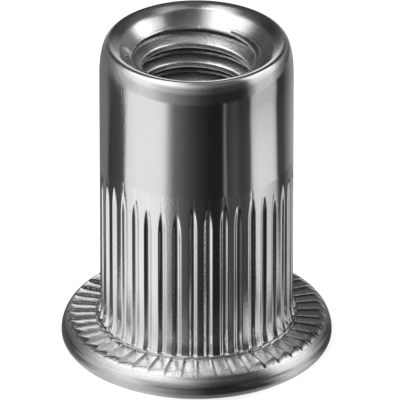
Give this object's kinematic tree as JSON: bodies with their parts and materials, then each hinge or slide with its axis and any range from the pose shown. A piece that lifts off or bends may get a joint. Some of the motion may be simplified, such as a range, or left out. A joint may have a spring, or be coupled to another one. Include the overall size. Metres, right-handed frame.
{
  "type": "rivet nut",
  "caption": "Blind threaded insert with a flat head serrated under its rim and a knurled tubular shank with a drawn-in open lip.",
  "frame": {"origin": "centre of the head's outer face, on the thread's axis", "axes": "+Z along the thread's axis, from the head towards the open threaded end"},
  "size_m": [0.0126, 0.0126, 0.0157],
  "materials": {
    "plated_steel": "bright zinc plate, polished by cold forming"
  },
  "bodies": {
    "root": {"rivet_nut": "plated_steel"}
  },
  "joints": []
}
